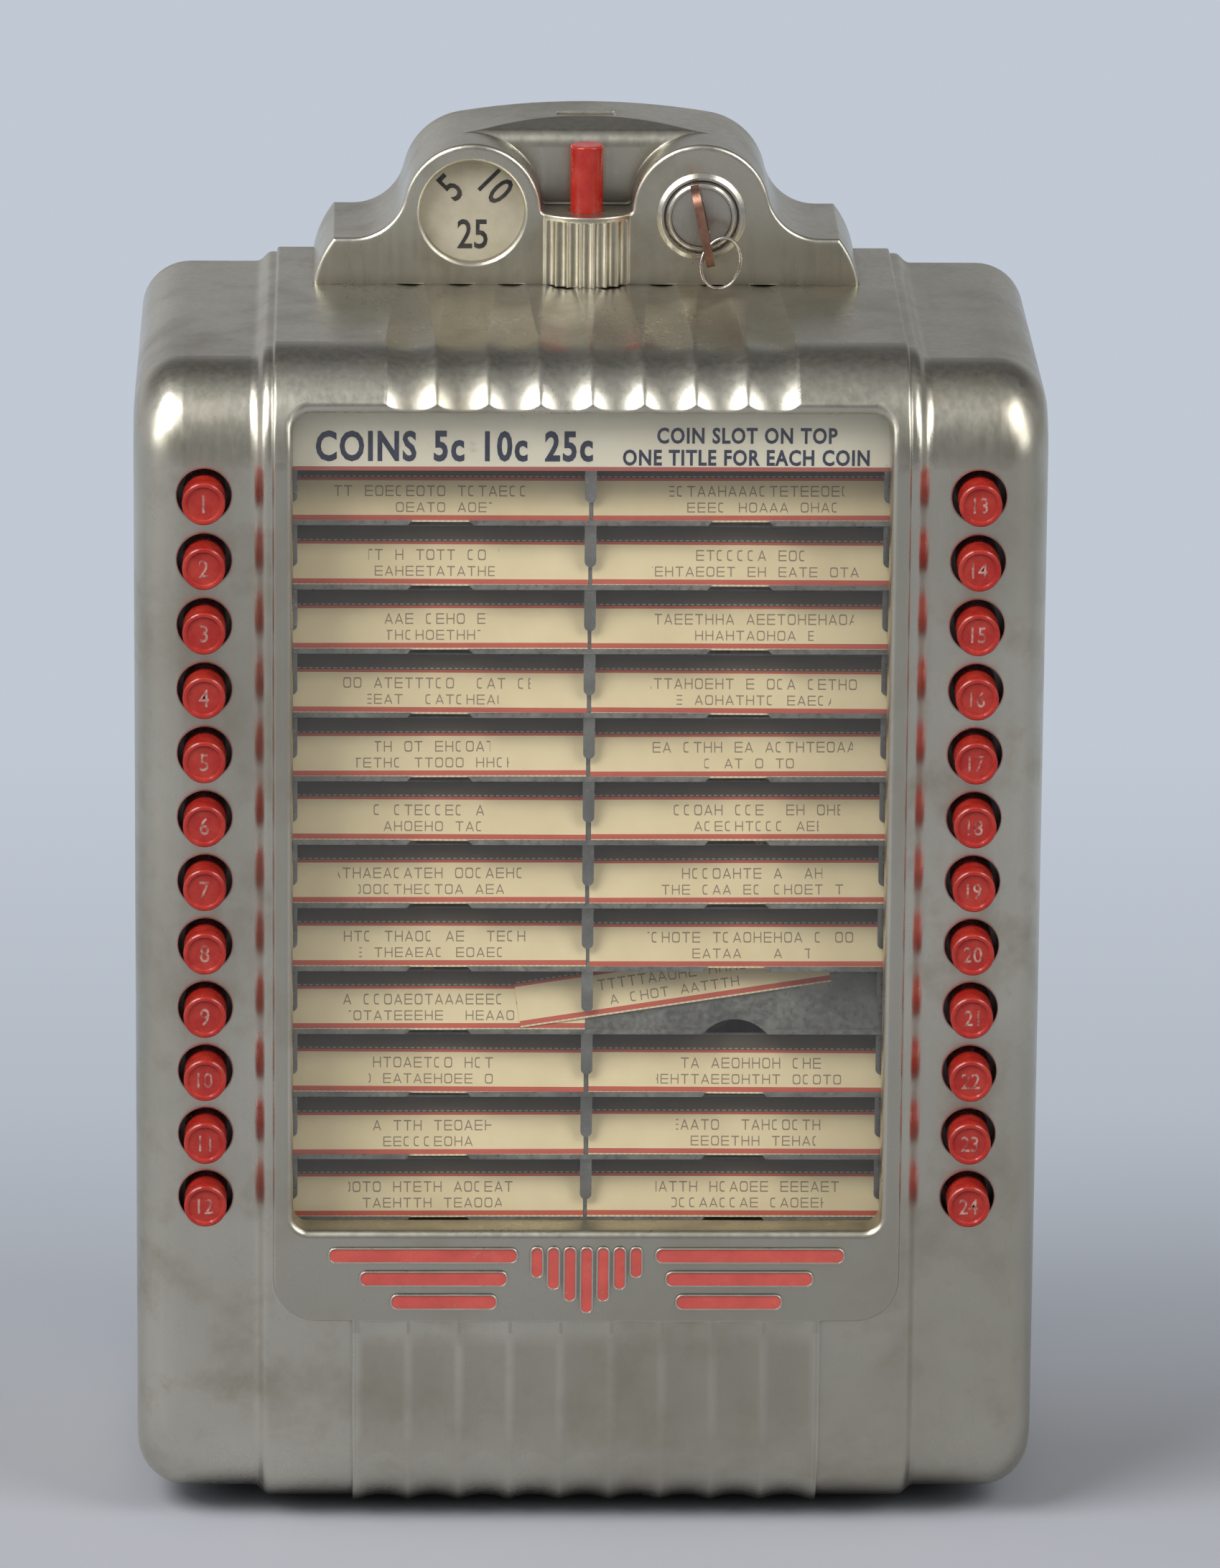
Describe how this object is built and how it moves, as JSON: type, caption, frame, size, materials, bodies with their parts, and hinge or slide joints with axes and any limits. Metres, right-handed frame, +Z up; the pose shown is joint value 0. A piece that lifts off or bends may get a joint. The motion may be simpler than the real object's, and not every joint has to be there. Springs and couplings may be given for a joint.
{
  "type": "jukebox wall box selector",
  "caption": "Wall-mounted coin selector for a jukebox: rounded fluted metal cover, glazed title window between columns of push buttons, lobed crown with coin slot, dial, plunger and key lock.",
  "frame": {"origin": "on the underside's ridge tips, under the middle of the whole box", "axes": "+X to the viewer's right, +Y towards the wall, +Z up"},
  "size_m": [0.218, 0.129, 0.3278],
  "materials": {
    "plated_casting": "satin nickel plate, lightly worn",
    "window_glass": "clear",
    "printed_card": "printed",
    "zinc_steel": "dull zinc plate",
    "dial_face": "cream with black numerals",
    "lock_nickel": "nickel plate",
    "key_brass": "copper-toned",
    "ring_wire": "bright wire",
    "red_plastic": "glossy",
    "spring_wire": "bright wire",
    "grommet_rubber": "matt",
    "fibre_board": "fibre",
    "contact_brass": "bright",
    "holder_paint": "grey",
    "title_paper": "cream with red borders",
    "motor_paint": "black"
  },
  "bodies": {
    "chassis": {"back_plate": "zinc_steel", "cable_grommet": "grommet_rubber", "side_frames": "zinc_steel", "button_banks": "zinc_steel", "contact_boards": "fibre_board", "contact_studs": "contact_brass", "button_springs": "spring_wire", "title_holders": "holder_paint", "title_strips": "title_paper", "catch_bracket": "zinc_steel", "coin_chute": "zinc_steel", "slug_rejector": "zinc_steel", "return_chute": "zinc_steel", "cash_box": "zinc_steel", "selector_bridge": "zinc_steel", "selector_disc": "fibre_board", "selector_motor": "motor_paint"},
    "cover": {"cover_shell": "plated_casting", "crown": "plated_casting", "window_glass": "window_glass", "instruction_card": "printed_card", "glass_frame": "zinc_steel", "cover_screws": "zinc_steel", "coin_dial": "dial_face", "dial_retainer": "zinc_steel", "lock_body": "lock_nickel", "lock_nut": "zinc_steel", "rod_spring": "spring_wire"},
    "lock": {"lock_plug": "lock_nickel", "lock_cam": "zinc_steel"},
    "key": {"lock_key": "key_brass"},
    "ring": {"key_ring": "ring_wire"},
    "plunger": {"return_rod": "red_plastic"},
    "lever": {"rejector_lever": "zinc_steel"},
    "wiper": {"wiper_arm": "contact_brass"},
    "button_01": {"button_01": "red_plastic"},
    "button_02": {"button_02": "red_plastic"},
    "button_03": {"button_03": "red_plastic"},
    "button_04": {"button_04": "red_plastic"},
    "button_05": {"button_05": "red_plastic"},
    "button_06": {"button_06": "red_plastic"},
    "button_07": {"button_07": "red_plastic"},
    "button_08": {"button_08": "red_plastic"},
    "button_09": {"button_09": "red_plastic"},
    "button_10": {"button_10": "red_plastic"},
    "button_11": {"button_11": "red_plastic"},
    "button_12": {"button_12": "red_plastic"},
    "button_13": {"button_13": "red_plastic"},
    "button_14": {"button_14": "red_plastic"},
    "button_15": {"button_15": "red_plastic"},
    "button_16": {"button_16": "red_plastic"},
    "button_17": {"button_17": "red_plastic"},
    "button_18": {"button_18": "red_plastic"},
    "button_19": {"button_19": "red_plastic"},
    "button_20": {"button_20": "red_plastic"},
    "button_21": {"button_21": "red_plastic"},
    "button_22": {"button_22": "red_plastic"},
    "button_23": {"button_23": "red_plastic"},
    "button_24": {"button_24": "red_plastic"}
  },
  "joints": [
    {"name": "cover_slide", "type": "slide", "parent": "chassis", "child": "cover", "axis": [0, -1, 0], "range_m": [0, 0.18]},
    {"name": "lock_turn", "type": "hinge", "parent": "cover", "child": "lock", "pos_m": [0.0279, 0.0245, 0.3078], "axis": [0, -1, 0], "range_deg": [0, 90]},
    {"name": "key_draw", "type": "slide", "parent": "lock", "child": "key", "axis": [0, -1, 0], "range_m": [0, 0.03]},
    {"name": "ring_swing", "type": "hinge", "parent": "key", "child": "ring", "pos_m": [0.0289, 0.011, 0.30311], "axis": [0.9781, 0, 0.2079], "range_deg": [-60, 12]},
    {"name": "return_push", "type": "slide", "parent": "cover", "child": "plunger", "axis": [0, 0, -1], "range_m": [0, 0.007], "stiffness_N_per_m": 350, "springref_m": -0.004, "deforming": ["rod_spring"]},
    {"name": "lever_turn", "type": "hinge", "parent": "chassis", "child": "lever", "pos_m": [0, 0.0031, 0.2775], "axis": [-1, 0, 0], "range_deg": [0, 18]},
    {"name": "wiper_turn", "type": "hinge", "parent": "chassis", "child": "wiper", "pos_m": [0, -0.0105, 0.14895], "axis": [0, 1, 0], "continuous": true},
    {"name": "button_01_push", "type": "slide", "parent": "chassis", "child": "button_01", "axis": [0, 1, 0], "range_m": [0, 0.0044], "stiffness_N_per_m": 250, "springref_m": -0.003, "deforming": ["button_springs"]},
    {"name": "button_02_push", "type": "slide", "parent": "chassis", "child": "button_02", "axis": [0, 1, 0], "range_m": [0, 0.0044], "stiffness_N_per_m": 250, "springref_m": -0.003, "deforming": ["button_springs"]},
    {"name": "button_03_push", "type": "slide", "parent": "chassis", "child": "button_03", "axis": [0, 1, 0], "range_m": [0, 0.0044], "stiffness_N_per_m": 250, "springref_m": -0.003, "deforming": ["button_springs"]},
    {"name": "button_04_push", "type": "slide", "parent": "chassis", "child": "button_04", "axis": [0, 1, 0], "range_m": [0, 0.0044], "stiffness_N_per_m": 250, "springref_m": -0.003, "deforming": ["button_springs"]},
    {"name": "button_05_push", "type": "slide", "parent": "chassis", "child": "button_05", "axis": [0, 1, 0], "range_m": [0, 0.0044], "stiffness_N_per_m": 250, "springref_m": -0.003, "deforming": ["button_springs"]},
    {"name": "button_06_push", "type": "slide", "parent": "chassis", "child": "button_06", "axis": [0, 1, 0], "range_m": [0, 0.0044], "stiffness_N_per_m": 250, "springref_m": -0.003, "deforming": ["button_springs"]},
    {"name": "button_07_push", "type": "slide", "parent": "chassis", "child": "button_07", "axis": [0, 1, 0], "range_m": [0, 0.0044], "stiffness_N_per_m": 250, "springref_m": -0.003, "deforming": ["button_springs"]},
    {"name": "button_08_push", "type": "slide", "parent": "chassis", "child": "button_08", "axis": [0, 1, 0], "range_m": [0, 0.0044], "stiffness_N_per_m": 250, "springref_m": -0.003, "deforming": ["button_springs"]},
    {"name": "button_09_push", "type": "slide", "parent": "chassis", "child": "button_09", "axis": [0, 1, 0], "range_m": [0, 0.0044], "stiffness_N_per_m": 250, "springref_m": -0.003, "deforming": ["button_springs"]},
    {"name": "button_10_push", "type": "slide", "parent": "chassis", "child": "button_10", "axis": [0, 1, 0], "range_m": [0, 0.0044], "stiffness_N_per_m": 250, "springref_m": -0.003, "deforming": ["button_springs"]},
    {"name": "button_11_push", "type": "slide", "parent": "chassis", "child": "button_11", "axis": [0, 1, 0], "range_m": [0, 0.0044], "stiffness_N_per_m": 250, "springref_m": -0.003, "deforming": ["button_springs"]},
    {"name": "button_12_push", "type": "slide", "parent": "chassis", "child": "button_12", "axis": [0, 1, 0], "range_m": [0, 0.0044], "stiffness_N_per_m": 250, "springref_m": -0.003, "deforming": ["button_springs"]},
    {"name": "button_13_push", "type": "slide", "parent": "chassis", "child": "button_13", "axis": [0, 1, 0], "range_m": [0, 0.0044], "stiffness_N_per_m": 250, "springref_m": -0.003, "deforming": ["button_springs"]},
    {"name": "button_14_push", "type": "slide", "parent": "chassis", "child": "button_14", "axis": [0, 1, 0], "range_m": [0, 0.0044], "stiffness_N_per_m": 250, "springref_m": -0.003, "deforming": ["button_springs"]},
    {"name": "button_15_push", "type": "slide", "parent": "chassis", "child": "button_15", "axis": [0, 1, 0], "range_m": [0, 0.0044], "stiffness_N_per_m": 250, "springref_m": -0.003, "deforming": ["button_springs"]},
    {"name": "button_16_push", "type": "slide", "parent": "chassis", "child": "button_16", "axis": [0, 1, 0], "range_m": [0, 0.0044], "stiffness_N_per_m": 250, "springref_m": -0.003, "deforming": ["button_springs"]},
    {"name": "button_17_push", "type": "slide", "parent": "chassis", "child": "button_17", "axis": [0, 1, 0], "range_m": [0, 0.0044], "stiffness_N_per_m": 250, "springref_m": -0.003, "deforming": ["button_springs"]},
    {"name": "button_18_push", "type": "slide", "parent": "chassis", "child": "button_18", "axis": [0, 1, 0], "range_m": [0, 0.0044], "stiffness_N_per_m": 250, "springref_m": -0.003, "deforming": ["button_springs"]},
    {"name": "button_19_push", "type": "slide", "parent": "chassis", "child": "button_19", "axis": [0, 1, 0], "range_m": [0, 0.0044], "stiffness_N_per_m": 250, "springref_m": -0.003, "deforming": ["button_springs"]},
    {"name": "button_20_push", "type": "slide", "parent": "chassis", "child": "button_20", "axis": [0, 1, 0], "range_m": [0, 0.0044], "stiffness_N_per_m": 250, "springref_m": -0.003, "deforming": ["button_springs"]},
    {"name": "button_21_push", "type": "slide", "parent": "chassis", "child": "button_21", "axis": [0, 1, 0], "range_m": [0, 0.0044], "stiffness_N_per_m": 250, "springref_m": -0.003, "deforming": ["button_springs"]},
    {"name": "button_22_push", "type": "slide", "parent": "chassis", "child": "button_22", "axis": [0, 1, 0], "range_m": [0, 0.0044], "stiffness_N_per_m": 250, "springref_m": -0.003, "deforming": ["button_springs"]},
    {"name": "button_23_push", "type": "slide", "parent": "chassis", "child": "button_23", "axis": [0, 1, 0], "range_m": [0, 0.0044], "stiffness_N_per_m": 250, "springref_m": -0.003, "deforming": ["button_springs"]},
    {"name": "button_24_push", "type": "slide", "parent": "chassis", "child": "button_24", "axis": [0, 1, 0], "range_m": [0, 0.0044], "stiffness_N_per_m": 250, "springref_m": -0.003, "deforming": ["button_springs"]}
  ],
  "couplings": [
    {"joint": "lever_turn", "follows": "return_push", "rad_per_m": 43.6}
  ]
}
